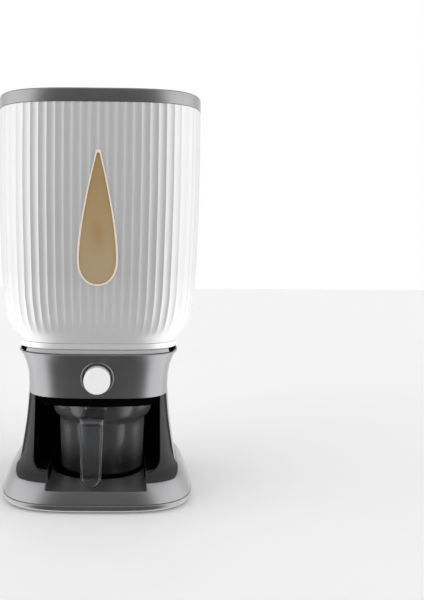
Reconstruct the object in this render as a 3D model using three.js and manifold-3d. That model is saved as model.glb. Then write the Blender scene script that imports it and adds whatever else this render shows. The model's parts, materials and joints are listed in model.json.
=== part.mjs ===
// Countertop dry-food dispenser. Millimetres, +Z up, front towards -Y, feet on z = 0.
import * as THREE from 'three';
import { mergeVertices, toCreasedNormals } from 'three/addons/utils/BufferGeometryUtils.js';
import Module from 'manifold-3d';

const wasm = await Module();
wasm.setup();

// Driving dimensions.
const SQUARENESS = 3.6;            // exponent of the rounded-square plan
const GAP = 0.3;                   // clearance between neighbouring pieces
const TOTAL_HEIGHT = 372;
const LID_BOTTOM = 360;
const HOPPER_WALL = 2.5;
const HOPPER_BOTTOM = 147.5;
const COLLAR_BOTTOM = 142;
const HOUSING_WALL = 2.2;
const HOUSING_BOTTOM = 31.3;
const HOUSING_TOP = 137.5;
const PANEL_BOTTOM = 96.5;         // lower edge of the plain front panel
const FRAME_BACK = -38;            // the bay frame wraps the front as far back as this
const FRAME_INSET = 1.5;
const FRAME_WALL = 3;
const LINER_INSET = 5.6;
const LINER_WALL = 2.2;
const LINTEL_BOTTOM = 88;
const PLINTH_BOTTOM = 8;
const PLINTH_TOP = 31;
const POCKET_HALF = 44.7;
const POCKET_FLOOR = 18.3;
const BUTTON_HEIGHT = 115;
const BUTTON_RADIUS = 12;
const BUTTON_FACE = -83;
const GATE_TRAVEL = 12;            // how far the button and the gate plate slide back
const SLOT_HALF_X = 17;
const SLOT_HALF_Y = 5.5;
const DECK_BOTTOM = 106.2;
const DECK_TOP = 109.1;
const CUP_CENTRE = [3.5, -8];
const CUP_TURN = THREE.MathUtils.degToRad(-6.2);
const CUP_BOTTOM = 19.5;
const CUP_RIM = 87;
const WINDOW_HALF = 17.9;
const WINDOW_BOTTOM = 199.8;
const WINDOW_TOP = 318.4;
const TRIM_WIDTH = 1.7;
const BASE_SCREW_SPOTS = [[-68, -22], [68, -22], [-68, 22], [68, 22]];
const DECK_SCREW_SPOTS = [[-42, -30], [42, -30], [-42, 30], [42, 30]];
const FOOT_SPOTS = [[-64, -64], [64, -64], [-64, 64], [64, 64]];
const FAR = 120;                   // safely outside the object, for cutting tools

// Half-width of the housing's outer face at each height, from its waist to its flared ends.
const HOUSING_CURVE = new THREE.SplineCurve([
  new THREE.Vector2(75, HOUSING_BOTTOM),
  new THREE.Vector2(71.6, 52),
  new THREE.Vector2(68.6, 75),
  new THREE.Vector2(67, 97),
  new THREE.Vector2(67, 108),
  new THREE.Vector2(68.4, 120),
  new THREE.Vector2(71.9, 130),
  new THREE.Vector2(76, HOUSING_TOP),
]);

// Half-width of the hopper's outer face at each height.
const HOPPER_CURVE = new THREE.SplineCurve([
  new THREE.Vector2(76.4, HOPPER_BOTTOM),
  new THREE.Vector2(84.6, 159.5),
  new THREE.Vector2(89.4, 177),
  new THREE.Vector2(92.2, 203),
  new THREE.Vector2(95.1, 279),
  new THREE.Vector2(95.7, LID_BOTTOM - GAP),
]);

// ---------------------------------------------------------------- geometry helpers

function toSolid(geometry) {
  const bare = new THREE.BufferGeometry();
  bare.setAttribute('position', geometry.getAttribute('position'));
  bare.setIndex(geometry.index);
  const merged = mergeVertices(bare, 1e-4);
  return new wasm.Manifold(new wasm.Mesh({
    numProp: 3,
    vertProperties: Float32Array.from(merged.getAttribute('position').array),
    triVerts: Uint32Array.from(merged.index.array),
  }));
}

function toGeometry(solid) {
  const mesh = solid.getMesh();
  const geometry = new THREE.BufferGeometry();
  geometry.setAttribute('position', new THREE.BufferAttribute(mesh.vertProperties, 3));
  geometry.setIndex(new THREE.BufferAttribute(mesh.triVerts, 1));
  return toCreasedNormals(geometry, THREE.MathUtils.degToRad(35));
}

// Sweeps [half-width, z] points round the Z axis. Exponent 2 gives a circle and higher ones a
// rounded square. The points run up the outside and down the inside; a half-width of 0 is a tip.
function sweep(profile, exponent = SQUARENESS, segments = 36) {
  const positions = [];
  const indices = [];
  const power = 2 / exponent;
  for (const [half, z] of profile) {
    for (let j = 0; j < segments; j += 1) {
      const angle = (2 * Math.PI * (j + 0.5)) / segments;
      const cosine = Math.cos(angle);
      const sine = Math.sin(angle);
      positions.push(half * Math.sign(cosine) * Math.abs(cosine) ** power);
      positions.push(half * Math.sign(sine) * Math.abs(sine) ** power);
      positions.push(z);
    }
  }
  const closed = profile[0][0] > 0;
  const bands = closed ? profile.length : profile.length - 1;
  for (let i = 0; i < bands; i += 1) {
    const next = (i + 1) % profile.length;
    for (let j = 0; j < segments; j += 1) {
      const a = i * segments + j;
      const b = i * segments + ((j + 1) % segments);
      const c = next * segments + ((j + 1) % segments);
      const d = next * segments + j;
      if (profile[i][0] > 0) indices.push(a, b, c);
      if (profile[next][0] > 0) indices.push(a, c, d);
    }
  }
  const geometry = new THREE.BufferGeometry();
  geometry.setAttribute('position', new THREE.Float32BufferAttribute(positions, 3));
  geometry.setIndex(indices);
  return toSolid(geometry);
}

function round(profile, segments = 32) {
  return sweep(profile, 2, segments);
}

function box(x0, x1, y0, y1, z0, z1) {
  const geometry = new THREE.BoxGeometry(x1 - x0, y1 - y0, z1 - z0);
  geometry.translate((x0 + x1) / 2, (y0 + y1) / 2, (z0 + z1) / 2);
  return toSolid(geometry);
}

function disc([x, y], radius, z0, z1, segments = 16) {
  return round([[0, z0], [radius, z0], [radius, z1], [0, z1]], segments).translate([x, y, 0]);
}

// A body turned about the button's axis, from [radius, y] points.
function turnedOnButton(profile, segments = 32) {
  return round(profile, segments).rotate([-90, 0, 0]).translate([0, 0, BUTTON_HEIGHT]);
}

function uprightPrism(shape, z0, z1, curveSegments = 8) {
  const options = { depth: z1 - z0, bevelEnabled: false, curveSegments };
  const geometry = new THREE.ExtrudeGeometry(shape, options);
  geometry.translate(0, 0, z0);
  return toSolid(geometry);
}

// The shape is drawn in X and Z and extruded along Y.
function frontPrism(shape, y0, y1, curveSegments = 8) {
  return uprightPrism(shape, 0, y1 - y0, curveSegments).rotate([90, 0, 0]).translate([0, y1, 0]);
}

function roundedRectangle(x0, x1, y0, y1, radius) {
  const shape = new THREE.Shape();
  shape.absarc(x1 - radius, y0 + radius, radius, -Math.PI / 2, 0);
  shape.absarc(x1 - radius, y1 - radius, radius, 0, Math.PI / 2);
  shape.absarc(x0 + radius, y1 - radius, radius, Math.PI / 2, Math.PI);
  shape.absarc(x0 + radius, y0 + radius, radius, Math.PI, 1.5 * Math.PI);
  return shape;
}

function curveProfile(curve, offset, steps) {
  return curve.getPoints(steps).map((point) => [point.x + offset, point.y]);
}

function filled(profile) {
  const first = profile[0];
  const last = profile[profile.length - 1];
  return sweep([[0, first[1]], ...profile, [0, last[1]]]);
}

function shell(outer, inner) {
  return sweep([...outer, ...inner.slice().reverse()]);
}

// ---------------------------------------------------------------- shared cutting shapes

// Plan of the cup pocket: straight sides from the front, round at the back.
function pocketPlan(margin) {
  const half = POCKET_HALF + margin;
  const shape = new THREE.Shape();
  shape.moveTo(-half, -FAR);
  shape.lineTo(half, -FAR);
  shape.absarc(0, CUP_CENTRE[1], half, 0, Math.PI);
  return shape;
}

// Front view of the bay frame: its foot is let into the dome with rounded corners.
function frameOutline(margin) {
  const corner = 6.5;
  const centre = 69;
  const shoulder = PLINTH_TOP - margin;
  const shape = new THREE.Shape();
  shape.moveTo(-FAR, shoulder);
  shape.lineTo(-centre - corner, shoulder);
  shape.absarc(-centre, shoulder, corner, Math.PI, 1.5 * Math.PI, false);
  shape.absarc(centre, shoulder, corner, 1.5 * Math.PI, 2 * Math.PI, false);
  shape.lineTo(FAR, shoulder);
  shape.lineTo(FAR, FAR);
  shape.lineTo(-FAR, FAR);
  return shape;
}

function framePath(offset) {
  const foot = [[83, 23.6], [80.2, 27.3], [76.3, 31], [73.8, 36]];
  const column = curveProfile(HOUSING_CURVE, 0, 40).filter((point) => point[1] > 41 && point[1] < 95);
  const thinned = column.filter((_, index) => index % 3 === 0);
  const top = [67, PANEL_BOTTOM - GAP];
  const inset = [...thinned, top].map(([half, z]) => [half - FRAME_INSET, z]);
  return [...foot, ...inset].map(([half, z]) => [half + offset, z]);
}

function teardrop(inset) {
  const half = WINDOW_HALF - inset;
  const top = WINDOW_TOP - inset * 1.6;
  const bottom = WINDOW_BOTTOM + inset;
  const widest = 223;
  const shape = new THREE.Shape();
  const tip = Math.max(2.2 - inset * 0.5, 0.8);
  shape.moveTo(0, bottom);
  shape.bezierCurveTo(half * 0.58, bottom, half, 209, half, widest);
  shape.bezierCurveTo(half, 243, half * 0.64, 278, tip, top - tip * 0.8);
  shape.quadraticCurveTo(tip * 0.7, top, 0, top);
  shape.quadraticCurveTo(-tip * 0.7, top, -tip, top - tip * 0.8);
  shape.bezierCurveTo(-half * 0.64, 278, -half, 243, -half, widest);
  shape.bezierCurveTo(-half, 209, -half * 0.58, bottom, 0, bottom);
  return shape;
}

// ---------------------------------------------------------------- lid

function lidCover() {
  return sweep([
    [0, 369.4], [92, 369.4], [93.2, 368], [93.2, LID_BOTTOM], [95.7, LID_BOTTOM], [95.7, 370.6],
    [95.3, 371.6], [94.3, TOTAL_HEIGHT], [0, TOTAL_HEIGHT],
  ]);
}

function lidPlug() {
  return sweep([
    [88.6, 348], [90.6, 348], [90.6, 352.2], [89.4, 352.2], [89.4, 356.6], [90.6, 356.6],
    [90.6, 369.1], [87.2, 369.1], [87.2, 349.4],
  ]);
}

function lidGasket() {
  return sweep([
    [89.7, 352.5], [92.2, 352.5], [92.7, 354.4], [92.2, 356.3], [89.7, 356.3],
  ]);
}

// ---------------------------------------------------------------- hopper

function hopperWall(outerOffset, innerOffset) {
  return shell(curveProfile(HOPPER_CURVE, outerOffset, 9), curveProfile(HOPPER_CURVE, innerOffset, 9));
}

function hopperShell() {
  const opening = frontPrism(teardrop(TRIM_WIDTH / 2), -FAR, 0);
  return hopperWall(0, -HOPPER_WALL).subtract(opening);
}

function windowTrim() {
  const outline = frontPrism(teardrop(0), -FAR, 0);
  const hole = frontPrism(teardrop(TRIM_WIDTH), -FAR, 0);
  return hopperWall(1, GAP).intersect(outline.subtract(hole));
}

function windowLens() {
  const outline = frontPrism(teardrop(TRIM_WIDTH / 2 + GAP), -FAR, 0);
  return hopperWall(-0.4, -HOPPER_WALL).intersect(outline);
}

function hopperCollar() {
  return sweep([
    [66, COLLAR_BOTTOM], [75.4, COLLAR_BOTTOM], [76, COLLAR_BOTTOM + 0.8],
    [76, HOPPER_BOTTOM - GAP], [66, HOPPER_BOTTOM - GAP],
  ]);
}

function hopperFunnel() {
  return sweep([
    [19.5, 121.6], [19.5, 130], [87.2, 184], [87.2, 187],
    [85.2, 187], [85.2, 185.2], [17.5, 131.3], [17.5, 121.6],
  ]);
}

// ---------------------------------------------------------------- housing and bay

function bodyHousing() {
  const outer = curveProfile(HOUSING_CURVE, 0, 11);
  const inner = curveProfile(HOUSING_CURVE, -HOUSING_WALL, 11);
  const bay = box(-FAR, FAR, -FAR, FRAME_BACK + GAP, 0, PANEL_BOTTOM);
  const buttonHole = turnedOnButton([[0, -FAR], [14.3, -FAR], [14.3, 0], [0, 0]]);
  return shell(outer, inner).subtract(bay).subtract(buttonHole);
}

function bayFrame() {
  const column = shell(framePath(0), framePath(-FRAME_WALL));
  const band = sweep([[64.4, 90], [64.4, 100.4], [61.9, 100.4], [61.9, 90]]);
  const front = box(-FAR, FAR, -FAR, FRAME_BACK, 0, FAR);
  const outline = frontPrism(frameOutline(0), -FAR, FRAME_BACK);
  const opening = frontPrism(roundedRectangle(-58, 58, 31.2, PANEL_BOTTOM + 1, 10), -FAR, 0);
  const squareTop = box(-58, 58, -FAR, 0, 60, PANEL_BOTTOM + 1);
  const pocket = uprightPrism(pocketPlan(GAP), 0, 60);
  return column.add(band).intersect(front).intersect(outline)
    .subtract(opening).subtract(squareTop).subtract(pocket);
}

function bayLiner() {
  const envelope = filled(curveProfile(HOUSING_CURVE, -LINER_INSET, 7));
  const lintelBack = filled(curveProfile(HOUSING_CURVE, -LINER_INSET - LINER_WALL, 7));
  const outside = uprightPrism(roundedRectangle(-57.5, 57.5, -FAR, 46.2, 14), HOUSING_BOTTOM, 92);
  const inside = uprightPrism(roundedRectangle(-55.3, 55.3, -FAR, 44, 12), HOUSING_BOTTOM + 1.8, 89.8);
  const lintelBlock = box(-57.5, 57.5, -FAR, FRAME_BACK, LINTEL_BOTTOM, 98);
  const pocket = uprightPrism(pocketPlan(GAP), 0, 60);
  const chuteHole = sweep([[0, 80], [16.3, 80], [16.3, 100], [0, 100]]);
  let liner = outside.subtract(inside).intersect(envelope).subtract(pocket).subtract(chuteHole);
  liner = liner.add(lintelBlock.intersect(envelope).subtract(lintelBack));
  for (const spot of DECK_SCREW_SPOTS) {
    liner = liner.add(disc(spot, 4.2, 91, DECK_BOTTOM - GAP, 12));
    liner = liner.subtract(disc(spot, 1.6, 95, 110, 8));
  }
  return liner;
}

// The flange covers the front and back of the housing's lip and leaves both sides open.
function seatRing() {
  const flangeBottom = HOUSING_TOP + GAP;
  const flangeTop = COLLAR_BOTTOM - GAP;
  let ring = sweep([
    [62, DECK_TOP + GAP], [62, 129], [67.4, 131.5], [68.5, 133.5], [68.5, flangeBottom],
    [75, flangeBottom], [75, flangeTop], [63.5, flangeTop], [63.5, 134], [59.5, 131],
    [59.5, DECK_TOP + GAP],
  ]);
  for (const side of [-1, 1]) {
    const opening = new THREE.Shape();
    opening.moveTo(side * 66, flangeBottom - 1);
    opening.lineTo(side * FAR, flangeBottom - 1);
    opening.lineTo(side * FAR, flangeTop + 1);
    opening.lineTo(side * 64.2, flangeTop + 1);
    ring = ring.subtract(frontPrism(opening, -FAR, FAR));
  }
  return ring.subtract(box(-13.5, 13.5, -FAR, 0, DECK_BOTTOM, 127.8));
}

// ---------------------------------------------------------------- gate mechanism

function slotCut(shiftY) {
  return box(-SLOT_HALF_X, SLOT_HALF_X, shiftY - SLOT_HALF_Y, shiftY + SLOT_HALF_Y, 100, 120);
}

function gateDeck() {
  let deck = sweep([[0, DECK_BOTTOM], [62.4, DECK_BOTTOM], [62.4, DECK_TOP], [0, DECK_TOP]]);
  deck = deck.subtract(slotCut(0)).subtract(box(-13.5, 13.5, -FAR, -49.2, 100, 120));
  for (const spot of DECK_SCREW_SPOTS) {
    deck = deck.subtract(disc(spot, 1.7, 100, 120, 8));
  }
  return deck;
}

function gateCover() {
  const bridge = box(-31, 31, -20.7, 24, DECK_TOP + GAP, 113.8);
  const channel = box(-27.4, 27.4, -FAR, FAR, DECK_TOP, 111.8);
  const chimney = sweep([[0, 113], [20.7, 113], [20.7, 121.2], [0, 121.2]]);
  const throat = sweep([[0, 113.8], [17.5, 113.8], [17.5, 125], [0, 125]]);
  return bridge.subtract(channel).add(chimney).subtract(throat).subtract(slotCut(0));
}

function gatePlate() {
  const plate = box(-27, 27, -36, 19, DECK_TOP + GAP, 111.4);
  const tab = box(-9, 9, -36, -34, DECK_TOP + GAP, 120);
  return plate.add(tab).subtract(slotCut(-GATE_TRAVEL));
}

function outletChute() {
  return sweep([[15, 90.4], [21, DECK_BOTTOM - GAP], [19, DECK_BOTTOM - GAP], [13, 90.4]]);
}

function rodGuide() {
  const plate = box(-11, 11, -49, -46.5, DECK_TOP + GAP, 124);
  return plate.subtract(turnedOnButton([[0, -FAR], [4, -FAR], [4, 0], [0, 0]]));
}

// ---------------------------------------------------------------- button

// The ring follows the panel's curve, and its sleeve lines the hole in the panel.
function buttonBezel() {
  const ring = turnedOnButton([[12.7, -FAR], [15.3, -FAR], [15.3, -62], [12.7, -62]]);
  const sleeve = turnedOnButton([[12.7, -FAR], [14, -FAR], [14, -63.6], [12.7, -63.6]]);
  const front = filled(curveProfile(HOUSING_CURVE, 1, 11));
  const panel = filled(curveProfile(HOUSING_CURVE, 0.15, 11));
  return ring.subtract(panel).add(sleeve).intersect(front);
}

function buttonCap() {
  return turnedOnButton([
    [0, BUTTON_FACE], [BUTTON_RADIUS - 1, BUTTON_FACE], [BUTTON_RADIUS, BUTTON_FACE + 1],
    [BUTTON_RADIUS, -66], [10, -66], [10, -80.5], [0, -80.5],
  ]);
}

function pushRod() {
  return turnedOnButton([[0, -80.2], [3.5, -80.2], [3.5, -36.3], [0, -36.3]], 20);
}

function returnSpring() {
  const start = -79.4;
  const end = -50.1;
  const turns = 5;
  const stepsPerTurn = 9;
  const coilRadius = 6.8;
  const points = [];
  for (let i = 0; i <= turns * stepsPerTurn; i += 1) {
    const angle = (2 * Math.PI * i) / stepsPerTurn;
    const y = start + ((end - start) * i) / (turns * stepsPerTurn);
    points.push(new THREE.Vector3(coilRadius * Math.cos(angle), y, coilRadius * Math.sin(angle)));
  }
  const wire = new THREE.Shape();
  wire.absarc(0, 0, 0.7, 0, 2 * Math.PI);
  const path = new THREE.CatmullRomCurve3(points);
  const options = { steps: turns * stepsPerTurn, extrudePath: path, curveSegments: 3, bevelEnabled: false };
  return toSolid(new THREE.ExtrudeGeometry(wire, options)).translate([0, 0, BUTTON_HEIGHT]);
}

// ---------------------------------------------------------------- plinth and base

function domeProfile(offset) {
  const dome = [[89.6, PLINTH_BOTTOM], [87.6, 13.5], [85, 19.8], [82.6, 24.4], [79.6, 28], [76.4, PLINTH_TOP]];
  return dome.map(([half, z]) => [half + offset, z]);
}

function plinth() {
  const cavityTop = PLINTH_TOP - 2.6;
  const cavity = sweep([
    [0, 0], [85.8, 0], [85.6, PLINTH_BOTTOM], [84.2, 13], [81.6, 18.8], [77, 24], [74, cavityTop], [0, cavityTop],
  ]);
  const tub = uprightPrism(pocketPlan(2.4), POCKET_FLOOR - 2.4, FAR);
  const pocket = uprightPrism(pocketPlan(0), POCKET_FLOOR, FAR);
  const frameSlot = shell(framePath(GAP), framePath(-FRAME_WALL - GAP))
    .intersect(frontPrism(frameOutline(GAP), -FAR, FRAME_BACK + GAP));
  let body = filled(domeProfile(0)).subtract(cavity.subtract(tub)).subtract(pocket);
  for (const spot of BASE_SCREW_SPOTS) {
    body = body.add(disc(spot, 4.5, PLINTH_BOTTOM, cavityTop + 1, 12));
    body = body.subtract(disc(spot, 1.7, 0, 22, 8));
  }
  return body.subtract(frameSlot);
}

function basePlate() {
  let plate = sweep([
    [0, 1.5], [87, 1.5], [89.2, 2.6], [90.2, 4.8], [90.2, 7], [89.6, 7.7],
    [86.6, 7.7], [86.6, 5], [85, 4], [0, 4],
  ]);
  for (const spot of BASE_SCREW_SPOTS) {
    plate = plate.subtract(disc(spot, 2, 0, 10, 8));
    plate = plate.subtract(disc(spot, 4, 0, 2.7));
  }
  return plate;
}

function foot(spot) {
  return disc(spot, 8, 0, 1.2, 20);
}

function screw([x, y], headRadius, headBottom, headTop, shankRadius, shankEnd) {
  const headUp = shankEnd < headBottom;
  const outline = headUp
    ? [[0, shankEnd], [shankRadius, shankEnd], [shankRadius, headBottom],
      [headRadius, headBottom], [headRadius, headTop], [0, headTop]]
    : [[0, headBottom], [headRadius, headBottom], [headRadius, headTop],
      [shankRadius, headTop], [shankRadius, shankEnd], [0, shankEnd]];
  return round(outline, 10).translate([x, y, 0]);
}

function cupSeat() {
  return disc([0, CUP_CENTRE[1]], POCKET_HALF - 0.4, POCKET_FLOOR + 0.2, POCKET_FLOOR + 0.9, 48);
}

// ---------------------------------------------------------------- measuring cup

function cupBowl() {
  return round([
    [0, CUP_BOTTOM], [38, CUP_BOTTOM], [39.5, 21], [41.4, 67.2], [42.4, 69.8], [45.8, 73],
    [47.9, 78], [48.5, CUP_RIM], [46.7, CUP_RIM], [46.1, 79], [44.4, 75], [41.6, 72.2],
    [39.5, 68.4], [37.7, 22.4], [36.9, 21.4], [0, 21.4],
  ], 40);
}

// The strap leaves the rim, bends and drops in front of the bowl.
function handleStrap() {
  const thickness = 2.6;
  const side = new THREE.Shape();
  side.moveTo(-47.2, 85);
  side.lineTo(-69, 81.4);
  side.quadraticCurveTo(-74.6, 80.4, -75.2, 74);
  side.lineTo(-76, 20.8);
  side.lineTo(-76 + thickness, 20.8);
  side.lineTo(-75.2 + thickness, 72.6);
  side.quadraticCurveTo(-72, 77.6, -68.5, 78.6);
  side.lineTo(-47.2, 82);
  const strip = uprightPrism(side, -14, 14, 6).rotate([90, 0, 0]).rotate([0, 0, 90]);
  const front = new THREE.Shape();
  front.moveTo(-10.6, 90);
  front.lineTo(-9, 29.8);
  front.absarc(0, 29.8, 9, Math.PI, 2 * Math.PI);
  front.lineTo(10.6, 90);
  return strip.intersect(frontPrism(front, -FAR, 0, 10));
}

function measuringCup() {
  return cupBowl().add(handleStrap()).rotate([0, 0, THREE.MathUtils.radToDeg(CUP_TURN)])
    .translate([CUP_CENTRE[0], CUP_CENTRE[1], 0]);
}

// ---------------------------------------------------------------- materials

function satinGrey() {
  return new THREE.MeshStandardMaterial({ color: 0x6f7072, roughness: 0.38, metalness: 0.1 });
}

function darkGrey() {
  return new THREE.MeshStandardMaterial({ color: 0x4a4b4d, roughness: 0.6, metalness: 0 });
}

function glossBlack() {
  return new THREE.MeshStandardMaterial({ color: 0x0b0b0c, roughness: 0.25, metalness: 0 });
}

function glossWhite() {
  return new THREE.MeshStandardMaterial({ color: 0xf2f2f1, roughness: 0.3, metalness: 0 });
}

function frostedWhite() {
  return new THREE.MeshStandardMaterial({ color: 0xd9d9d8, roughness: 0.35, metalness: 0 });
}

function lightGrey() {
  return new THREE.MeshStandardMaterial({ color: 0xbfc1c3, roughness: 0.4, metalness: 0 });
}

function smokedTan() {
  return new THREE.MeshStandardMaterial({ color: 0xa98f6b, roughness: 0.3, metalness: 0 });
}

function cream() {
  return new THREE.MeshStandardMaterial({ color: 0xe1d4c3, roughness: 0.4, metalness: 0 });
}

function clearPlastic() {
  return new THREE.MeshStandardMaterial({ color: 0x8a8d90, roughness: 0.1, transparent: true, opacity: 0.45 });
}

function rubber() {
  return new THREE.MeshStandardMaterial({ color: 0x1a1a1a, roughness: 0.9, metalness: 0 });
}

function steel() {
  return new THREE.MeshStandardMaterial({ color: 0xb8bbbe, roughness: 0.3, metalness: 1 });
}

// ---------------------------------------------------------------- assembly

function addPart(group, name, solid, material) {
  const mesh = new THREE.Mesh(toGeometry(solid), material);
  mesh.name = name;
  group.add(mesh);
}

function assemble() {
  const group = new THREE.Group();
  group.name = 'dry_food_dispenser';
  addPart(group, 'lid_cover', lidCover(), satinGrey());
  addPart(group, 'lid_plug', lidPlug(), glossWhite());
  addPart(group, 'lid_gasket', lidGasket(), rubber());
  addPart(group, 'hopper_shell', hopperShell(), frostedWhite());
  addPart(group, 'hopper_collar', hopperCollar(), glossWhite());
  addPart(group, 'hopper_funnel', hopperFunnel(), glossWhite());
  addPart(group, 'window_trim', windowTrim(), cream());
  addPart(group, 'window_lens', windowLens(), smokedTan());
  addPart(group, 'body_housing', bodyHousing(), satinGrey());
  addPart(group, 'bay_frame', bayFrame(), darkGrey());
  addPart(group, 'bay_liner', bayLiner(), glossBlack());
  addPart(group, 'seat_ring', seatRing(), lightGrey());
  addPart(group, 'gate_deck', gateDeck(), glossBlack());
  addPart(group, 'gate_cover', gateCover(), glossWhite());
  addPart(group, 'gate_plate', gatePlate(), steel());
  addPart(group, 'outlet_chute', outletChute(), glossWhite());
  addPart(group, 'rod_guide', rodGuide(), glossBlack());
  addPart(group, 'button_bezel', buttonBezel(), satinGrey());
  addPart(group, 'button_cap', buttonCap(), glossWhite());
  addPart(group, 'push_rod', pushRod(), steel());
  addPart(group, 'return_spring', returnSpring(), steel());
  addPart(group, 'plinth', plinth(), satinGrey());
  addPart(group, 'base_plate', basePlate(), satinGrey());
  addPart(group, 'cup_seat', cupSeat(), glossBlack());
  addPart(group, 'measuring_cup', measuringCup(), clearPlastic());
  FOOT_SPOTS.forEach((spot, i) => addPart(group, `foot_${i + 1}`, foot(spot), rubber()));
  BASE_SCREW_SPOTS.forEach((spot, i) => {
    addPart(group, `base_screw_${i + 1}`, screw(spot, 3.6, 1.7, 2.4, 1.4, 19), steel());
  });
  DECK_SCREW_SPOTS.forEach((spot, i) => {
    addPart(group, `deck_screw_${i + 1}`, screw(spot, 3.2, 109.4, 111.2, 1.3, 97), steel());
  });
  return group;
}

export default assemble();
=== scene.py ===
"""Looks of a countertop dry-food dispenser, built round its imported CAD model. Metres, front towards -Y."""

import json
import math

import bpy
import numpy as np
from mathutils import Euler, Matrix, Vector


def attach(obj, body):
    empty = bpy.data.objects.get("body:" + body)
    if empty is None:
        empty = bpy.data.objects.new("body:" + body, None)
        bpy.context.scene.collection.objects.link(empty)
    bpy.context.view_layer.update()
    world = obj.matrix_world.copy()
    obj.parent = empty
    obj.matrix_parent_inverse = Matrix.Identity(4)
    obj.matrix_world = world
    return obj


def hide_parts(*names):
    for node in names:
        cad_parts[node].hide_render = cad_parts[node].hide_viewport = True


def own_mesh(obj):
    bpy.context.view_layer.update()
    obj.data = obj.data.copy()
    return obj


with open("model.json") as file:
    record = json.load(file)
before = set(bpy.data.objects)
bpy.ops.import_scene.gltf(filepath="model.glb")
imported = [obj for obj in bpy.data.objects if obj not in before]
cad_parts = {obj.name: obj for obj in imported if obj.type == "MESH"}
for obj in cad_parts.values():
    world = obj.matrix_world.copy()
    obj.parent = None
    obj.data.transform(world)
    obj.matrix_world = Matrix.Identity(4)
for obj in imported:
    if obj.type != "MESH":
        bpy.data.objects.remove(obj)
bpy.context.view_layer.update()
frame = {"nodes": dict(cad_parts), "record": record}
nodes = frame["nodes"]

# Driving dimensions, in millimetres, the same as in the CAD source.
MM = 0.001
SQUARENESS = 3.6
GAP = 0.3
TOTAL_HEIGHT = 372
LID_BOTTOM = 360
LID_HALF = 95.7
HOPPER_WALL = 2.5
HOPPER_BOTTOM = 147.5
COLLAR_BOTTOM = 142
FLUTE_COUNT = 88
FLUTE_DEPTH = 0.5
FLUTE_FADE = (150, 176)
HOUSING_BOTTOM = 31.3
HOUSING_TOP = 137.5
HOUSING_WALL = 2.2
NOTCH_FOOT = 66
NOTCH_TOP = 64.2
PANEL_BOTTOM = 96.5
FRAME_BACK = -38
FRAME_INSET = 1.5
FRAME_WALL = 3
PLINTH_BOTTOM = 8
PLINTH_TOP = 31
POCKET_HALF = 44.7
POCKET_FLOOR = 18.3
BUTTON_HEIGHT = 115
BUTTON_RADIUS = 11.85
BUTTON_FACE = -83
BEZEL_RADIUS = 14.4
BEZEL_BEAD = 0.8
CUP_CENTRE = (3.5, -8)
CUP_TURN = math.radians(-6.2)
CUP_BOTTOM = 19.5
CUP_RIM = 87
WINDOW_HALF = 17.9
WINDOW_BOTTOM = 199.8
WINDOW_WIDEST = 223
WINDOW_TOP = 318.4
TRIM_WIDTH = 1.7
SPRING_FIXED_END = -50.1
SPRING_FREE_END = -79.4
FAR = 130
FLOOR_HALF = 3000

# Light: strengths, and the tilt in degrees of the dark zone in front.
FRONT_GLOW = 0.1
SIDE_GLOW = 2.3
FRONT_TILT = 25
BACK_SHARE = 0.5
TOP_SHARE = 0.4
CUP_LIGHT = 3
STRAP_LIGHT = 14

HOUSING_KNOTS = [
    (75, HOUSING_BOTTOM), (71.6, 52), (68.6, 75), (67, 97),
    (67, 108), (68.4, 120), (71.9, 130), (76, HOUSING_TOP),
]
HOPPER_KNOTS = [
    (76.4, HOPPER_BOTTOM), (84.6, 159.5), (89.4, 177),
    (92.2, 203), (95.1, 279), (95.7, LID_BOTTOM - GAP),
]


# ---------------------------------------------------------------- outlines

def spline(knots, steps):
    """Points along a uniform Catmull-Rom curve, evenly spaced in its parameter."""
    last = len(knots) - 1
    found = []
    for i in range(steps + 1):
        at = last * i / steps
        k = min(int(at), last - 1)
        t = at - k
        p0, p1, p2, p3 = (knots[min(max(k + d, 0), last)] for d in (-1, 0, 1, 2))
        point = []
        for a, b, c, d in zip(p0, p1, p2, p3):
            v0 = (c - a) / 2
            v1 = (d - b) / 2
            point.append(
                (2 * b - 2 * c + v0 + v1) * t**3 + (-3 * b + 3 * c - 2 * v0 - v1) * t**2 + v0 * t + b
            )
        found.append(tuple(point))
    return found


def offset(profile, amount):
    """The profile moved outwards by an amount."""
    return [(half + amount, z) for half, z in profile]


def arc(centre, radius, start, end, steps=6):
    """Points on an arc in the plane of a profile; angles in degrees from outwards, turning upwards."""
    angles = [math.radians(start + (end - start) * i / steps) for i in range(steps + 1)]
    return [(centre[0] + radius * math.cos(a), centre[1] + radius * math.sin(a)) for a in angles]


def rounded_square_plan(count):
    """Points on a rounded square of half-width 1, evenly spaced along its edge, from +X towards +Y."""
    angles = np.linspace(0, 2 * math.pi, 8001)
    cosine, sine = np.cos(angles), np.sin(angles)
    x = np.sign(cosine) * np.abs(cosine) ** (2 / SQUARENESS)
    y = np.sign(sine) * np.abs(sine) ** (2 / SQUARENESS)
    travelled = np.concatenate([[0], np.cumsum(np.hypot(np.diff(x), np.diff(y)))])
    wanted = np.linspace(0, travelled[-1], count, endpoint=False)
    return np.stack([np.interp(wanted, travelled, x), np.interp(wanted, travelled, y)], 1)


def circle_plan(count):
    angles = np.linspace(0, 2 * math.pi, count, endpoint=False)
    return np.stack([np.cos(angles), np.sin(angles)], 1)


def plan_depth(half, x):
    """Distance from the Z axis to the flat front of a rounded square, at x."""
    return (half**SQUARENESS - abs(x) ** SQUARENESS) ** (1 / SQUARENESS)


def height_table(knots, steps):
    """Heights along a curve and the half-width at each, for half_at."""
    halves, heights = zip(*spline(knots, steps))
    return heights, halves


def half_at(table, z):
    return float(np.interp(z, *table))


def bezier(p0, p1, p2, p3, steps):
    found = []
    for i in range(steps):
        t = i / steps
        u = 1 - t
        weights = (u**3, 3 * u * u * t, 3 * u * t * t, t**3)
        found.append(tuple(sum(w * p[k] for w, p in zip(weights, (p0, p1, p2, p3))) for k in (0, 1)))
    return found


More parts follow.
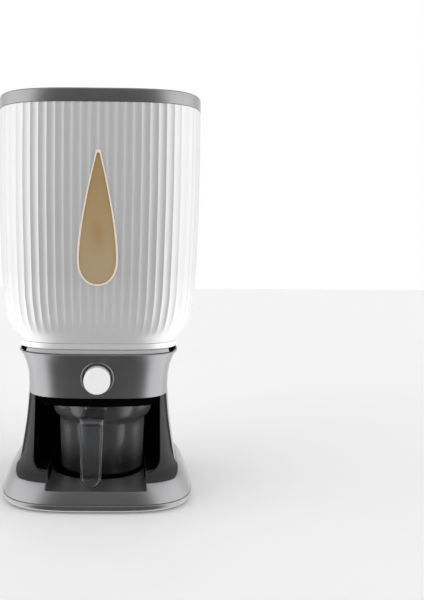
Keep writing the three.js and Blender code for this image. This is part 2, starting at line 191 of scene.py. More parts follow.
def teardrop(inset):
    """Outline of the window in X and Z, anticlockwise from its lowest point."""
    half = WINDOW_HALF - inset
    top = WINDOW_TOP - inset * 1.6
    bottom = WINDOW_BOTTOM + inset
    tip = max(2.2 - inset * 0.5, 0.8)
    shoulder = top - tip * 0.8
    right = bezier((0, bottom), (half * 0.58, bottom), (half, 209), (half, WINDOW_WIDEST), 24)
    right += bezier((half, WINDOW_WIDEST), (half, 243), (half * 0.64, 278), (tip, shoulder), 48)
    right += bezier((tip, shoulder), (tip * 0.9, top - tip * 0.2), (tip * 0.45, top), (0, top), 8)
    left = [(-x, z) for x, z in reversed(right[1:])]
    return right + [(0, top)] + left


HOPPER_TABLE = height_table(HOPPER_KNOTS, 400)
HOUSING_TABLE = height_table(HOUSING_KNOTS, 200)


# ---------------------------------------------------------------- mesh helpers

def new_object(name, vertices, faces):
    mesh = bpy.data.meshes.new(name)
    mesh.from_pydata([tuple(c * MM for c in v) for v in vertices], [], faces)
    mesh.validate()
    mesh.update()
    made = bpy.data.objects.new(name, mesh)
    bpy.context.scene.collection.objects.link(made)
    return made


def sweep(name, profile, plan, relief=None):
    """Sweeps (half-width, z) points round the Z axis: up the outside and down the inside.
    relief holds, for each profile point, how far each plan point moves outwards."""
    count = len(plan)
    tangent = np.roll(plan, -1, 0) - np.roll(plan, 1, 0)
    normal = np.stack([tangent[:, 1], -tangent[:, 0]], 1)
    normal /= np.linalg.norm(normal, axis=1)[:, None]
    vertices = []
    starts = []
    for i, (half, z) in enumerate(profile):
        starts.append(len(vertices))
        if half <= 0:
            vertices.append((0, 0, z))
            continue
        ring = plan * half
        if relief is not None:
            ring = ring + normal * relief[i][:, None]
        vertices += [(x, y, z) for x, y in ring]
    closed = profile[0][0] > 0
    faces = []
    for i in range(len(profile) if closed else len(profile) - 1):
        k = (i + 1) % len(profile)
        tip_below = profile[i][0] <= 0
        tip_above = profile[k][0] <= 0
        for j in range(count):
            n = (j + 1) % count
            if tip_below:
                faces.append((starts[i], starts[k] + n, starts[k] + j))
            elif tip_above:
                faces.append((starts[i] + j, starts[i] + n, starts[k]))
            else:
                faces.append((starts[i] + j, starts[i] + n, starts[k] + n, starts[k] + j))
    return new_object(name, vertices, faces)


def prism(name, outline, low, high, along="z"):
    """Extrudes an anticlockwise outline in X and Y along Z, or one in X and Z along Y."""
    count = len(outline)
    if along == "z":
        vertices = [(x, y, low) for x, y in outline] + [(x, y, high) for x, y in outline]
    else:
        vertices = [(x, high, z) for x, z in outline] + [(x, low, z) for x, z in outline]
    sides = [(j, (j + 1) % count, count + (j + 1) % count, count + j) for j in range(count)]
    caps = [tuple(reversed(range(count))), tuple(range(count, 2 * count))]
    return new_object(name, vertices, sides + caps)


def block(x0, x1, y0, y1, z0, z1):
    return prism("cutter", [(x0, y0), (x1, y0), (x1, y1), (x0, y1)], z0, z1)


def rounded_rectangle(x0, x1, y0, y1, radius, steps=10):
    outline = []
    for cx, cy, start in (
        (x1 - radius, y0 + radius, -90), (x1 - radius, y1 - radius, 0),
        (x0 + radius, y1 - radius, 90), (x0 + radius, y0 + radius, 180),
    ):
        outline += arc((cx, cy), radius, start, start + 90, steps)
    return outline


def combine(target, other, operation):
    """Applies a boolean with the other solid, which is used up."""
    modifier = target.modifiers.new("combine", "BOOLEAN")
    modifier.operation = operation
    modifier.solver = "EXACT"
    modifier.object = other
    settle(target)
    spare = other.data
    bpy.data.objects.remove(other)
    bpy.data.meshes.remove(spare)
    return target


def settle(target):
    """Replaces a piece's mesh with what its modifiers make of it."""
    graph = bpy.context.evaluated_depsgraph_get()
    made = bpy.data.meshes.new_from_object(target.evaluated_get(graph))
    old = target.data
    target.modifiers.clear()
    target.data = made
    bpy.data.meshes.remove(old)


def soften(target, width, segments=2, angle=40):
    """Bevels every edge that is sharper than the angle; the width is in millimetres."""
    modifier = target.modifiers.new("edges", "BEVEL")
    modifier.width = width * MM
    modifier.segments = segments
    modifier.limit_method = "ANGLE"
    modifier.angle_limit = math.radians(angle)
    modifier.use_clamp_overlap = True
    modifier.harden_normals = False
    settle(target)


def smooth(target, angle=32):
    target.data.shade_smooth()
    target.data.set_sharp_from_angle(angle=math.radians(angle))


def place(target, body, slot, material, *stands_for, angle=32):
    """Finishes a piece: its shading, material, body and the CAD nodes it stands for. The slot argument is not
    used.
    """
    smooth(target, angle)
    target.data.materials.clear()
    target.data.materials.append(material)
    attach(target, body)
    if stands_for:
        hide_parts(*stands_for)
    return target


def shell(outer, inner):
    return outer + inner[::-1]


def filled(profile):
    return [(0, profile[0][1])] + profile + [(0, profile[-1][1])]


# ---------------------------------------------------------------- materials

class Nodes:
    """A short way to build one node material."""

    def __init__(self, name):
        self.material = bpy.data.materials.new(name)
        self.material.use_nodes = True
        self.tree = self.material.node_tree
        self.shader = self.tree.nodes["Principled BSDF"]
        self.coordinates = self.tree.nodes.new("ShaderNodeTexCoord").outputs["Object"]

    def add(self, kind, **settings):
        node = self.tree.nodes.new(kind)
        for key, value in settings.items():
            setattr(node, key, value)
        return node

    def link(self, source, target):
        self.tree.links.new(source, target)

    def noise(self, scale, detail=3):
        node = self.add("ShaderNodeTexNoise")
        node.inputs["Scale"].default_value = scale
        node.inputs["Detail"].default_value = detail
        self.link(self.coordinates, node.inputs["Vector"])
        return node.outputs["Fac"]

    def height(self, low, high):
        """Rises from 0 to 1 between two heights in millimetres."""
        split = self.add("ShaderNodeSeparateXYZ")
        self.link(self.coordinates, split.inputs["Vector"])
        node = self.add("ShaderNodeMapRange")
        node.inputs["From Min"].default_value = low * MM
        node.inputs["From Max"].default_value = high * MM
        self.link(split.outputs["Z"], node.inputs["Value"])
        return node.outputs["Result"]

    def ramp(self, source, low, high, low_at=0.3, high_at=0.7):
        node = self.add("ShaderNodeValToRGB")
        node.color_ramp.elements[0].position = low_at
        node.color_ramp.elements[1].position = high_at
        node.color_ramp.elements[0].color = (*low, 1)
        node.color_ramp.elements[1].color = (*high, 1)
        self.link(source, node.inputs["Fac"])
        return node.outputs["Color"]

    def spread(self, source, low, high):
        node = self.add("ShaderNodeMapRange")
        node.inputs["To Min"].default_value = low
        node.inputs["To Max"].default_value = high
        self.link(source, node.inputs["Value"])
        return node.outputs["Result"]

    def bump(self, source, strength, distance):
        node = self.add("ShaderNodeBump")
        node.inputs["Strength"].default_value = strength
        node.inputs["Distance"].default_value = distance
        self.link(source, node.inputs["Height"])
        self.link(node.outputs["Normal"], self.shader.inputs["Normal"])


def shade(colour, factor):
    return tuple(min(c * factor, 1) for c in colour)


def plastic(name, colour, roughness, grain=0.05, mottle=0.03, texture_scale=1400, specular=0.5):
    """Moulded plastic: faint mottling, uneven roughness and a fine moulded grain."""
    made = Nodes(name)
    cloud = made.noise(18)
    fine = made.noise(texture_scale, detail=2)
    tint = made.ramp(cloud, shade(colour, 1 - mottle), shade(colour, 1 + mottle))
    made.link(tint, made.shader.inputs["Base Color"])
    made.link(made.spread(cloud, roughness * 0.92, roughness * 1.08), made.shader.inputs["Roughness"])
    made.bump(fine, grain, 0.00008)
    made.shader.inputs["IOR"].default_value = 1.5
    made.shader.inputs["Specular IOR Level"].default_value = specular
    return made


def grey_satin():
    """Grey paint with a metallic sheen."""
    made = plastic("grey_satin", (0.25, 0.25, 0.255), 0.3, grain=0.04)
    made.shader.inputs["Metallic"].default_value = 0.8
    return made.material


def dark_grey():
    return plastic("dark_grey", (0.028, 0.028, 0.0295), 0.55, grain=0.1, specular=0.15).material


def black_plastic():
    return plastic("black_plastic", (0.002, 0.002, 0.0021), 0.6, specular=0).material


def white_plastic():
    made = plastic("white_plastic", (0.9, 0.9, 0.9), 0.32, grain=0.03, mottle=0.01)
    made.shader.inputs["Subsurface Weight"].default_value = 0.05
    made.shader.inputs["Subsurface Radius"].default_value = (0.004, 0.004, 0.004)
    return made.material


def frosted_plastic():
    """Milky plastic with a pearly gloss, painted whiter towards the foot as painted light from the floor
    below.
    """
    made = plastic("frosted_plastic", (0.62, 0.62, 0.62), 0.42, grain=0.03)
    # Painted light: the base colour brightens towards the foot, standing in for light from the floor below.
    tint = made.ramp(made.height(HOPPER_BOTTOM, 210), (0.78, 0.78, 0.78), (0.63, 0.63, 0.63), 0, 1)
    made.link(tint, made.shader.inputs["Base Color"])
    made.shader.inputs["Metallic"].default_value = 0.4
    return made.material


def light_grey():
    return plastic("light_grey", (0.42, 0.42, 0.43), 0.35, grain=0.04, mottle=0.02).material


def gate_plastic():
    return plastic("gate_plastic", (0.4, 0.4, 0.41), 0.45).material


def cream_trim():
    return plastic("cream_trim", (0.80, 0.72, 0.62), 0.4, grain=0.03, mottle=0.02).material


def gasket_rubber():
    return plastic("gasket_rubber", (0.3, 0.3, 0.3), 0.7, grain=0.15).material


def foot_rubber():
    return plastic("foot_rubber", (0.02, 0.02, 0.02), 0.8, grain=0.25).material


def metal(name, colour, roughness):
    made = plastic(name, colour, roughness, grain=0.1, texture_scale=900)
    made.shader.inputs["Metallic"].default_value = 1.0
    return made.material


def tan_lens():
    """Tinted panel, a little paler towards the bottom, with one soft darker spot."""
    made = Nodes("tan_lens")
    height = made.height(WINDOW_BOTTOM, WINDOW_TOP)
    base = made.ramp(height, (0.42, 0.31, 0.18), (0.38, 0.25, 0.115), 0.15, 0.8)
    away = made.add("ShaderNodeVectorMath", operation="DISTANCE")
    flattened = made.add("ShaderNodeMapping")
    flattened.inputs["Scale"].default_value = (1, 0, 0.55)
    made.link(made.coordinates, flattened.inputs["Vector"])
    made.link(flattened.outputs["Vector"], away.inputs[0])
    away.inputs[1].default_value = (0, 0, 0.246 * 0.55)
    spot = made.ramp(away.outputs["Value"], (1, 1, 1), (0, 0, 0), 0.002, 0.009)
    mix = made.add("ShaderNodeMix", data_type="RGBA")
    mix.inputs["B"].default_value = (0.35, 0.22, 0.09, 1)
    weight = made.add("ShaderNodeMath", operation="MULTIPLY")
    weight.inputs[1].default_value = 0.7
    made.link(spot, weight.inputs[0])
    made.link(weight.outputs["Value"], mix.inputs["Factor"])
    made.link(base, mix.inputs["A"])
    made.link(mix.outputs["Result"], made.shader.inputs["Base Color"])
    made.link(made.spread(made.noise(30), 0.38, 0.46), made.shader.inputs["Roughness"])
    made.bump(made.noise(700, detail=2), 0.05, 0.0001)
    return made.material


def clear_plastic():
    made = Nodes("clear_plastic")
    cloud = made.noise(12)
    tint = made.ramp(cloud, (0.58, 0.59, 0.6), (0.63, 0.64, 0.65))
    made.link(tint, made.shader.inputs["Base Color"])
    made.link(made.spread(cloud, 0.02, 0.05), made.shader.inputs["Roughness"])
    made.shader.inputs["Transmission Weight"].default_value = 1.0
    made.shader.inputs["IOR"].default_value = 1.49
    made.bump(made.noise(90, detail=1), 0.03, 0.0002)
    return made.material


def bay_shaded_plastic():
    """The bowl: partly opaque plastic with a satin surface, its dark base colour painted shade of the black
    bay, darker still towards the bottom as painted shade of the pocket.
    """
    made = plastic("bay_shaded_plastic", (0.1, 0.1, 0.1), 0.22, grain=0, specular=0.7)
    # Painted shade: the base colour darkens towards the bottom, where the bowl stands in the dark pocket.
    tint = made.ramp(made.height(30, 50), (0.02, 0.02, 0.021), (0.11, 0.11, 0.115), 0, 1)
    made.link(tint, made.shader.inputs["Base Color"])
    made.shader.inputs["Transmission Weight"].default_value = 0.6
    return made.material


MATERIALS = {
    "bay_shaded_plastic": bay_shaded_plastic(),
    "grey_satin": grey_satin(),
    "dark_grey": dark_grey(),
    "black_plastic": black_plastic(),
    "white_plastic": white_plastic(),
    "frosted_plastic": frosted_plastic(),
    "light_grey": light_grey(),
    "gate_plastic": gate_plastic(),
    "cream_trim": cream_trim(),
    "tan_lens": tan_lens(),
    "clear_plastic": clear_plastic(),
    "spring_steel": metal("spring_steel", (0.62, 0.62, 0.63), 0.28),
    "screw_steel": metal("screw_steel", (0.55, 0.55, 0.56), 0.34),
    "gasket_rubber": gasket_rubber(),
    "foot_rubber": foot_rubber(),
}


# ---------------------------------------------------------------- lid and hopper

def build_lid():
    rim = LID_HALF
    outer = [(rim - 0.4, LID_BOTTOM), (rim, LID_BOTTOM + 0.4)]
    outer += arc((rim - 1.4, TOTAL_HEIGHT - 1.4), 1.4, 0, 90, 6)
    inner = [(0, 369.4), (91.4, 369.4), (93.2, 367.6), (93.2, LID_BOTTOM)]
    profile = inner + outer + [(60, TOTAL_HEIGHT), (0, TOTAL_HEIGHT)]
    lid = sweep("lid", profile, rounded_square_plan(240))
    place(lid, "lid", "grey_satin", MATERIALS["grey_satin"], "lid_cover")


def build_hopper():
    """Concave flutes meet in sharp ridges all round the outside and fade out towards the foot."""
    count = FLUTE_COUNT * 10
    across = (np.arange(count) * FLUTE_COUNT / count) % 1
    hollow = (2 * across - 1) ** 2 - 1
    outer = [(76.3, HOPPER_BOTTOM), (76.4, HOPPER_BOTTOM + 0.1)] + spline(HOPPER_KNOTS, 60)[1:]
    inner = [(94.2, LID_BOTTOM - GAP)] + offset(spline(HOPPER_KNOTS, 30), -HOPPER_WALL)[::-1]
    relief = []
    for _, z in outer:
        fade = min(max((z - FLUTE_FADE[0]) / (FLUTE_FADE[1] - FLUTE_FADE[0]), 0), 1)
        relief.append(FLUTE_DEPTH * fade * fade * (3 - 2 * fade) * hollow)
    relief += [np.zeros(count)] * len(inner)
    hopper = sweep("hopper", outer + inner, rounded_square_plan(count), relief)
    combine(hopper, prism("cutter", teardrop(TRIM_WIDTH / 2), -FAR, 0, along="y"), "DIFFERENCE")
    place(hopper, "hopper", "frosted_plastic", MATERIALS["frosted_plastic"], "hopper_shell", angle=14)


def build_collar():
    profile = [(66, COLLAR_BOTTOM)] + arc((75.2, COLLAR_BOTTOM + 0.8), 0.8, -90, 0, 4)
    profile += [(76, HOPPER_BOTTOM - GAP - 0.1), (75.9, HOPPER_BOTTOM - GAP), (66, HOPPER_BOTTOM - GAP)]
    collar = sweep("hopper_band", profile, rounded_square_plan(240))
    place(collar, "hopper", "white_plastic", MATERIALS["frosted_plastic"], "hopper_collar")


def window_point(x, z, proud):
    """A point on the hopper's front at x and z, the given distance in front of the flute ridges."""
    return (x, -plan_depth(half_at(HOPPER_TABLE, z) + proud, x), z)


def build_window_trim():
    """A rounded bead that follows the teardrop."""
    section = [(0, -1.6), (0, 0.45), (0.25, 0.85), (0.6, 0.98), (1.1, 0.98), (1.45, 0.85), (TRIM_WIDTH, 0.45),
               (TRIM_WIDTH, -1.6)]
    loops = [teardrop(inset) for inset, _ in section]
    vertices = []
    for (_, proud), loop in zip(section, loops):
        vertices += [window_point(x, z, proud) for x, z in loop]
    count = len(loops[0])
    faces = []
    for i in range(len(section)):
        k = (i + 1) % len(section)
        for j in range(count):
            n = (j + 1) % count
            faces.append((i * count + j, i * count + n, k * count + n, k * count + j))
    trim = new_object("window_bead", vertices, faces)
    place(trim, "hopper", "cream_trim", MATERIALS["cream_trim"], "window_trim", angle=50)


def build_window_lens():
    """The tinted panel: rows of points from the bottom of the teardrop to its tip, front and back."""
    outline = teardrop(TRIM_WIDTH / 2 + GAP)
    right = [(x, z) for x, z in outline if x >= 0]
    right.sort(key=lambda point: point[1])
    levels = [point[1] for point in right]
    widths = [point[0] for point in right]
    rows = 90
    columns = 14
    low, high = levels[0], levels[-1]
    vertices = []
    for proud in (-0.35, -2.2):
        for i in range(rows + 1):
            z = low + (high - low) * (0.5 - 0.5 * math.cos(math.pi * i / rows))
            width = max(float(np.interp(z, levels, widths)), 0.05)
            for j in range(columns + 1):
                vertices.append(window_point(width * (2 * j / columns - 1), z, proud))
    size = (rows + 1) * (columns + 1)
    faces = []
    for i in range(rows):
        for j in range(columns):
            a = i * (columns + 1) + j
            d = a + columns + 1
            faces.append((a, a + 1, d + 1, d))
            faces.append((size + a, size + d, size + d + 1, size + a + 1))
    rim = [i * (columns + 1) + columns for i in range(rows + 1)]
    rim += [rows * (columns + 1) + j for j in range(columns - 1, -1, -1)]
    rim += [i * (columns + 1) for i in range(rows - 1, 0, -1)]
    rim += list(range(columns))
    for a, b in zip(rim, rim[1:] + rim[:1]):
        faces.append((a, size + a, size + b, b))
    lens = new_object("window_panel", vertices, faces)
    place(lens, "hopper", "tan_lens", MATERIALS["tan_lens"], "window_lens")


# ---------------------------------------------------------------- housing, frame, liner and ring

def build_housing():
    outer = spline(HOUSING_KNOTS, 48)
    inner = offset(outer, -HOUSING_WALL)
    lip = arc((74.9, HOUSING_TOP - 1.1), 1.1, 0, 180, 8)
    profile = outer[:-1] + lip + inner[:-1][::-1]
    housing = sweep("housing", profile, rounded_square_plan(240))
    combine(housing, block(-FAR, FAR, -FAR, FRAME_BACK + GAP, 0, PANEL_BOTTOM), "DIFFERENCE")
    combine(housing, button_tool(14.3, -FAR, 0), "DIFFERENCE")
    soften(housing, 0.5, angle=50)
    place(housing, "base", "grey_satin", MATERIALS["grey_satin"], "body_housing")


def turned_on_button(name, profile, count=96):
    """Turns (radius, y) points about the button's axis."""
    made = sweep(name, profile, circle_plan(count))
    forwards = Euler((-math.pi / 2, 0, 0)).to_matrix().to_4x4()
    made.data.transform(Matrix.Translation((0, 0, BUTTON_HEIGHT * MM)) @ forwards)
    return made


def tube(inner, outer, back):
    return [(inner, -FAR), (outer, -FAR), (outer, back), (inner, back)]


def button_tool(radius, y0, y1):
    return turned_on_button("cutter", [(0, y0), (radius, y0), (radius, y1), (0, y1)])


def frame_path(amount):
    foot = [(83, 23.6), (80.2, 27.3), (76.3, 31), (73.8, 36)]
    column = [(h - FRAME_INSET, z) for h, z in spline(HOUSING_KNOTS, 60) if 41 < z < 95]
    smooth_foot = spline(foot + [column[0]], 16)[:-1]
    return offset(smooth_foot + column + [(67 - FRAME_INSET, PANEL_BOTTOM - GAP)], amount)


def frame_outline():
    corners = arc((-69, PLINTH_TOP), 6.5, 180, 270, 8) + arc((69, PLINTH_TOP), 6.5, 270, 360, 8)
    return [(-FAR, PLINTH_TOP)] + corners + [(FAR, PLINTH_TOP), (FAR, FAR), (-FAR, FAR)]


def pocket_outline(margin):
    half = POCKET_HALF + margin
    return [(-half, -FAR), (half, -FAR)] + arc((0, CUP_CENTRE[1]), half, 0, 180, 48)


def build_bay_frame():
    plan = rounded_square_plan(240)
    made = sweep("bay_surround", shell(frame_path(0), frame_path(-FRAME_WALL)), plan)
    band = sweep("cutter", [(64.4, 90), (64.4, 100.4), (61.9, 100.4), (61.9, 90)], plan)
    combine(made, band, "UNION")
    combine(made, prism("cutter", frame_outline(), -FAR, FRAME_BACK, along="y"), "INTERSECT")
    opening = rounded_rectangle(-58, 58, 31.2, 130, 10)
    lower = [(x, min(z, PANEL_BOTTOM + 1)) for x, z in opening]
    outline = [p for i, p in enumerate(lower) if i == 0 or p != lower[i - 1]]
    combine(made, prism("cutter", outline, -FAR, 0, along="y"), "DIFFERENCE")
    combine(made, prism("cutter", pocket_outline(GAP), 0, 60), "DIFFERENCE")
    soften(made, 0.8, segments=3, angle=50)
    place(made, "base", "dark_grey", MATERIALS["dark_grey"], "bay_frame")


def build_pocket_lining():
    """A thin black lip of the bay's liner, down the inside of the cup pocket behind its front sill."""
    lining = prism("pocket_lining", pocket_outline(-0.1), 19.4, PLINTH_TOP + 0.2)
    combine(lining, prism("cutter", pocket_outline(-0.5), 0, 60), "DIFFERENCE")
    combine(lining, block(-FAR, FAR, -FAR, -57, 0, 60), "DIFFERENCE")
    place(lining, "base", "black_plastic", MATERIALS["black_plastic"])


def build_plinth():
    plan = rounded_square_plan(240)
    knots = [(89.6, PLINTH_BOTTOM), (87.6, 13.5), (85, 19.8), (82.6, 24.4), (79.6, 28), (76.4, PLINTH_TOP)]
    dome = spline(knots, 30)
    made = sweep("foot_dome", filled(dome), plan)
    hollow = [(0, 0), (85.4, 0), (85.4, PLINTH_BOTTOM + 2), (82, 14), (0, 14)]
    combine(made, sweep("cutter", hollow, plan), "DIFFERENCE")
    combine(made, prism("cutter", pocket_outline(0), POCKET_FLOOR, 60), "DIFFERENCE")
    slot = sweep("cutter", shell(frame_path(4 * GAP), frame_path(-FRAME_WALL - GAP)), plan)
    lowered = [(x, z - GAP) for x, z in frame_outline()]
    combine(slot, prism("cutter", lowered, -FAR, FRAME_BACK + GAP, along="y"), "INTERSECT")
    combine(made, slot, "DIFFERENCE")
    soften(made, 0.9, segments=3, angle=50)
    place(made, "base", "grey_satin", MATERIALS["grey_satin"], "plinth")


def build_base_plate():
    profile = [(0, 1.5), (86.4, 1.5)] + arc((86.4, 5.3), 3.8, -90, 0, 8) + [(90.2, 6.9)]
    profile += arc((89.4, 6.9), 0.8, 0, 90, 4)[1:] + [(86.6, 7.7), (86.6, 4), (0, 4)]
    plate = sweep("skirt", profile, rounded_square_plan(240))
    place(plate, "base", "grey_satin", MATERIALS["grey_satin"], "base_plate")


def side_notch(side, margin):
    """The slanted cut beside the seat ring's flange, moved outward by a margin."""
    low = HOUSING_TOP + GAP - 1
    high = COLLAR_BOTTOM - GAP + 1
    outline = [(NOTCH_FOOT + margin, low), (FAR, low), (FAR, high), (NOTCH_TOP + margin, high)]
    if side < 0:
        outline = [(-x, z) for x, z in reversed(outline)]
    return prism("cutter", outline, -FAR, FAR, along="y")


def build_side_gap_shade():
    """Black strips fill the notches between the housing's lip and the hopper's band, as painted shade where
    the gap lies in shadow.
    """
    low = HOUSING_TOP + 0.1
    high = COLLAR_BOTTOM - 0.1
    for side in (-1, 1):
        profile = [(73.9, low), (73.9, high), (63.8, high), (63.8, low)]
        # Painted shade: a black piece put where the notch is only in shadow.
        strip = sweep("gap_shade_strip", profile, rounded_square_plan(240))
        combine(strip, side_notch(side, 0.1), "INTERSECT")
        place(strip, "base", "black_plastic", MATERIALS["black_plastic"])


def build_seat_ring():
    """The flange lies on the housing's lip at the front and back and is cut away at both sides."""
    low = HOUSING_TOP + GAP
    high = COLLAR_BOTTOM - GAP
    profile = [(62, 109.4), (62, 129), (67.4, 131.5), (68.5, 133.5), (68.5, low)]
    profile += [(74.7, low), (75, low + 0.3), (75, high - 0.5), (74.5, high), (63.5, high)]
    profile += [(63.5, 134), (59.5, 131), (59.5, 109.4)]
    ring = sweep("hopper_seat", profile, rounded_square_plan(240))
    for side in (-1, 1):
        combine(ring, side_notch(side, 0), "DIFFERENCE")
    combine(ring, block(-13.5, 13.5, -FAR, 0, 100, 127.8), "DIFFERENCE")
    place(ring, "base", "light_grey", MATERIALS["light_grey"], "seat_ring")


# ---------------------------------------------------------------- button

def build_button():
    cap = [(0, BUTTON_FACE + 0.35), (7, BUTTON_FACE + 0.12), (10.6, BUTTON_FACE)]
    for angle in (math.pi / 3, math.pi / 6):
        cap.append((BUTTON_RADIUS - 1.2 * math.cos(angle), BUTTON_FACE + 1.2 - 1.2 * math.sin(angle)))
    cap += [(BUTTON_RADIUS, BUTTON_FACE + 1.3), (BUTTON_RADIUS, -66), (10, -66), (10, -80.5), (0, -80.5)]
    button = turned_on_button("push_button", cap)
    button.visible_glossy = False
    place(button, "button", "white_plastic", MATERIALS["white_plastic"], "button_cap")
    build_bezel()


def build_bezel():
    """A raised bead that follows the panel, with a sleeve inside it that lines the button's hole."""
    centre = []
    for angle in np.linspace(0, 2 * math.pi, 96, endpoint=False):
        x = BEZEL_RADIUS * math.cos(angle)
        z = BUTTON_HEIGHT + BEZEL_RADIUS * math.sin(angle)
        centre.append((x, -plan_depth(half_at(HOUSING_TABLE, z), x) - 0.25, z))
    ring = tube_along(centre, BEZEL_BEAD, closed=True)
    sleeve = turned_on_button("cutter", tube(12.7, 13.9, -63.7))
    inside = sweep("cutter", filled(offset(spline(HOUSING_KNOTS, 48), -0.2)), rounded_square_plan(240))
    combine(sleeve, inside, "INTERSECT")
    combine(ring, sleeve, "UNION")
    place(ring, "base", "grey_satin", MATERIALS["grey_satin"], "button_bezel")


def build_spring():
    """A coil that stays on the rod guide, between its fixed end and its free end."""
    turns = 5
    steps = turns * 28
    sides = 8
    wire = 0.7
    coil = 6.8
    vertices = []
    for i in range(steps + 1):
        angle = 2 * math.pi * turns * i / steps
        y = SPRING_FREE_END + (SPRING_FIXED_END - SPRING_FREE_END) * i / steps
        out = Vector((math.cos(angle), 0, math.sin(angle)))
        for k in range(sides):
            turn = 2 * math.pi * k / sides
            centre = Vector((0, y + wire * math.sin(turn), BUTTON_HEIGHT))
            point = out * (coil + wire * math.cos(turn)) + centre
            vertices.append(tuple(point))
    faces = []
    for i in range(steps):
        for k in range(sides):
            n = (k + 1) % sides
            faces.append((i * sides + k, (i + 1) * sides + k, (i + 1) * sides + n, i * sides + n))
    faces.append(tuple(range(sides)))
    faces.append(tuple(reversed(range(steps * sides, (steps + 1) * sides))))
    spring = new_object("spring", vertices, faces)
    place(spring, "base", "spring_steel", MATERIALS["spring_steel"], "return_spring")
    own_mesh(spring)


# ---------------------------------------------------------------- cup

def build_cup():
    outer = [(0, CUP_BOTTOM), (36.5, CUP_BOTTOM)] + arc((36.5, 22.5), 3, -80, 0, 6)
    outer += [(40, 31), (41.2, 62), (41.4, 66.5), (41.8, 68.6), (42.8, 70.3), (44.8, 71.8), (46.6, 74.2),
              (47.7, 77.6), (48.2, 82), (48.5, 86.4)]
    rim = [(48.2, 86.9), (47.3, CUP_RIM), (46.8, 86.6)]
    inner = [(46.3, 80), (45.5, 76.6), (44, 74.2), (41.6, 72.4), (40.2, 70.6), (39.6, 68), (39.4, 62),
             (38.1, 31)] + arc((34.6, 24.4), 3, 0, -90, 6)[1:] + [(0, 21.4)]
    cup = sweep("cup", outer + rim + inner, circle_plan(128))
    strap = handle_strap()
    strap.name = "cup_strap"
    for piece in (cup, strap):
        piece.data.transform(Matrix.Rotation(CUP_TURN, 4, "Z"))
        piece.data.transform(Matrix.Translation((CUP_CENTRE[0] * MM, CUP_CENTRE[1] * MM, 0)))
    # The bowl's dark finish is painted shade of the black bay.
    place(cup, "cup", "clear_plastic", MATERIALS["bay_shaded_plastic"], "measuring_cup")
    place(strap, "cup", "clear_plastic", MATERIALS["clear_plastic"])
    return cup, strap


def handle_strap():
    """The strap leaves the rim, bends and drops in front of the bowl; a bead runs round its edge."""
    half = 9.3
    web = 1.4
    bead = 1.15
    path = [(-48.6, 84.4)] + quadratic((-68, 81.2), (-74.4, 80.2), (-74.6, 73), 10)
    low = 29.8
    path += [(-74.6 - 0.5 * (73 - z) / 43, z) for z in (60, 45, low)]
    rail = [(half, y, z) for y, z in path]
    end_y = path[-1][0]
    half_end = 8.1
    rail = [(x - (x - half_end) * max(0, (73 - z) / 43.2), y, z) for x, y, z in rail]
    bend = [(half_end * math.cos(a), end_y, low + half_end * math.sin(a))
            for a in np.linspace(0, -math.pi, 25)][1:-1]
    loop = rail + bend + [(-x, y, z) for x, y, z in reversed(rail)]
    strap = tube_along(loop, bead)
    vertices = []
    for x, y, z in rail + [p for p in bend if p[0] > 0.5]:
        vertices += [(-x, y - web / 2, z), (x, y - web / 2, z), (x, y + web / 2, z), (-x, y + web / 2, z)]
    rows = len(vertices) // 4
    faces = [(3, 2, 1, 0), tuple(4 * (rows - 1) + k for k in range(4))]
    for i in range(rows - 1):
        for k in range(4):
            n = (k + 1) % 4
            faces.append((4 * i + k, 4 * i + n, 4 * (i + 1) + n, 4 * (i + 1) + k))
    combine(strap, new_object("cutter", vertices, faces), "UNION")
    return strap


def tube_along(points, radius, sides=12, closed=False):
    """A round rod along a path of points, in millimetres, with flat ends or joined into a ring."""
    points = [Vector(point) for point in points]
    count = len(points)
    across = Vector((1, 0, 0))
    vertices = []
    for i, point in enumerate(points):
        if closed:
            ahead = (points[(i + 1) % count] - points[i - 1]).normalized()
        else:
            ahead = (points[min(i + 1, count - 1)] - points[max(i - 1, 0)]).normalized()
        across = (across - ahead * across.dot(ahead)).normalized()
        other = ahead.cross(across)
        for k in range(sides):
            angle = 2 * math.pi * k / sides
            vertices.append(tuple(point + (across * math.cos(angle) + other * math.sin(angle)) * radius))
    faces = []
    if not closed:
        faces = [tuple(reversed(range(sides))), tuple(len(vertices) - sides + k for k in range(sides))]
    for i in range(count if closed else count - 1):
        for k in range(sides):
            n = (k + 1) % sides
            m = (i + 1) % count
            faces.append((i * sides + k, i * sides + n, m * sides + n, m * sides + k))
    return new_object("rod", vertices, faces)


def quadratic(p0, p1, p2, steps):
    found = []
    for i in range(steps + 1):
        t = i / steps
        found.append(tuple((1 - t) ** 2 * a + 2 * t * (1 - t) * b + t * t * c for a, b, c in zip(p0, p1, p2)))
    return found


# ---------------------------------------------------------------- stage, light and camera

def build_stage():
    """A pale floor, left out of reflections so that the object's shiny sides stay even."""
    corners = [(x * FLOOR_HALF, y * FLOOR_HALF, 0) for x, y in ((-1, -1), (1, -1), (1, 1), (-1, 1))]
    floor = new_object("floor", corners, [(0, 1, 2, 3)])
    finish = plastic("floor_white", (0.99, 0.99, 0.99), 0.7, mottle=0.005, texture_scale=60)
    floor.data.materials.append(finish.material)
    floor.visible_glossy = False


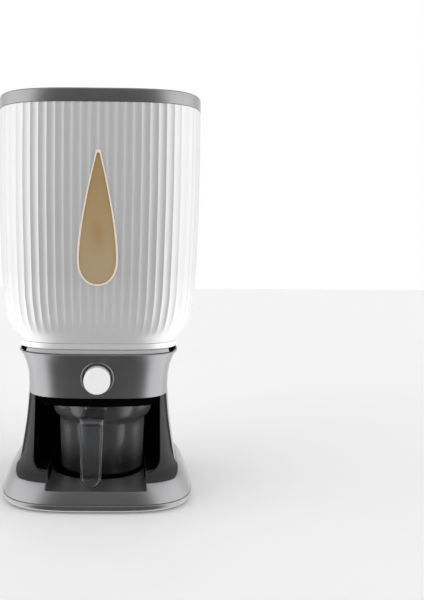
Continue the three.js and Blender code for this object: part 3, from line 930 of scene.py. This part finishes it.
def build_world():
    """A studio that is dark straight in front, brightest at both sides, and plain white to the camera."""
    world = bpy.data.worlds.new("studio")
    bpy.context.scene.world = world
    world.use_nodes = True
    tree = world.node_tree

    def add(kind, **settings):
        node = tree.nodes.new(kind)
        for key, value in settings.items():
            setattr(node, key, value)
        return node

    def separated(tilt, flattening):
        stretch = add("ShaderNodeMapping", vector_type="TEXTURE")
        stretch.inputs["Rotation"].default_value = (math.radians(tilt), 0, 0)
        stretch.inputs["Scale"].default_value = (1, 1, flattening)
        direction = add("ShaderNodeVectorMath", operation="NORMALIZE")
        split = add("ShaderNodeSeparateXYZ")
        tree.links.new(coordinates.outputs["Generated"], stretch.inputs["Vector"])
        tree.links.new(stretch.outputs["Vector"], direction.inputs[0])
        tree.links.new(direction.outputs["Vector"], split.inputs["Vector"])
        return split.outputs

    def product(first, second):
        node = add("ShaderNodeMath", operation="MULTIPLY")
        tree.links.new(first, node.inputs[0])
        tree.links.new(second, node.inputs[1])
        return node.outputs["Value"]

    def stepped(source, start, end, low, high):
        node = add("ShaderNodeMapRange", interpolation_type="SMOOTHSTEP")
        for socket, value in zip(("From Min", "From Max", "To Min", "To Max"), (start, end, low, high)):
            node.inputs[socket].default_value = value
        tree.links.new(source, node.inputs["Value"])
        return node.outputs["Result"]

    coordinates = add("ShaderNodeTexCoord")
    around = separated(FRONT_TILT, 2.5)["Y"]
    upward = separated(0, 1)["Z"]
    front_to_side = stepped(around, -0.84, -0.56, FRONT_GLOW, SIDE_GLOW)
    strength = product(front_to_side, stepped(around, 0.2, 0.75, 1, BACK_SHARE))
    strength = product(strength, stepped(upward, 0.3, 0.8, 1, TOP_SHARE))
    eye = add("ShaderNodeLightPath").outputs["Is Camera Ray"]
    choose = add("ShaderNodeMix", data_type="FLOAT")
    tree.links.new(eye, choose.inputs["Factor"])
    tree.links.new(strength, choose.inputs["A"])
    choose.inputs["B"].default_value = 1
    tree.links.new(choose.outputs["Result"], tree.nodes["Background"].inputs["Strength"])
    tree.nodes["Background"].inputs["Color"].default_value = (1, 1, 1, 1)


def build_edge_lights(piece, power):
    """Two upright strips that reach only one piece of the cup, to draw the edges of its plastic."""
    lit = bpy.data.collections.new(piece.name + "_only")
    lit.objects.link(piece)
    for side in (-1, 1):
        data = bpy.data.lights.new("cup_edge", "AREA")
        data.shape = "RECTANGLE"
        data.size = 0.16
        data.size_y = 0.3
        data.energy = power
        lamp = bpy.data.objects.new("cup_edge", data)
        lamp.location = (side * 0.5, 0.09, 0.1)
        lamp.rotation_mode = "QUATERNION"
        lamp.rotation_quaternion = (Vector((0, 0, 0.05)) - lamp.location).to_track_quat("-Z", "Y")
        lamp.visible_camera = False
        lamp.light_linking.receiver_collection = lit
        lamp.light_linking.blocker_collection = lit
        bpy.context.scene.collection.objects.link(lamp)


def build_camera():
    data = bpy.data.cameras.new("camera")
    data.sensor_width = 36
    data.lens = 43.2
    data.clip_start = 0.01
    data.shift_x = 0.14
    data.shift_y = -0.097
    data.dof.use_dof = False
    camera = bpy.data.objects.new("camera", data)
    camera.location = (0.0191, -0.7185, 0.2386)
    camera.rotation_mode = "XYZ"
    camera.rotation_euler = (math.radians(90), math.radians(-0.49), math.radians(-0.67))
    bpy.context.scene.collection.objects.link(camera)
    bpy.context.scene.camera = camera
    bpy.context.scene.view_settings.view_transform = "Standard"


build_lid()
build_hopper()
build_collar()
build_window_trim()
build_window_lens()
build_housing()
build_bay_frame()
build_pocket_lining()
build_plinth()
build_base_plate()
build_seat_ring()
build_side_gap_shade()
build_button()
build_spring()
CUP, STRAP = build_cup()

SLOTS = {entry["node"]: entry["material_slot"] for entry in frame["record"]["subparts"]}
for name, node in nodes.items():
    node.data.materials.clear()
    node.data.materials.append(MATERIALS[SLOTS[name]])
    smooth(node)

build_stage()
build_world()
build_edge_lights(CUP, CUP_LIGHT)
build_edge_lights(STRAP, STRAP_LIGHT)
build_camera()
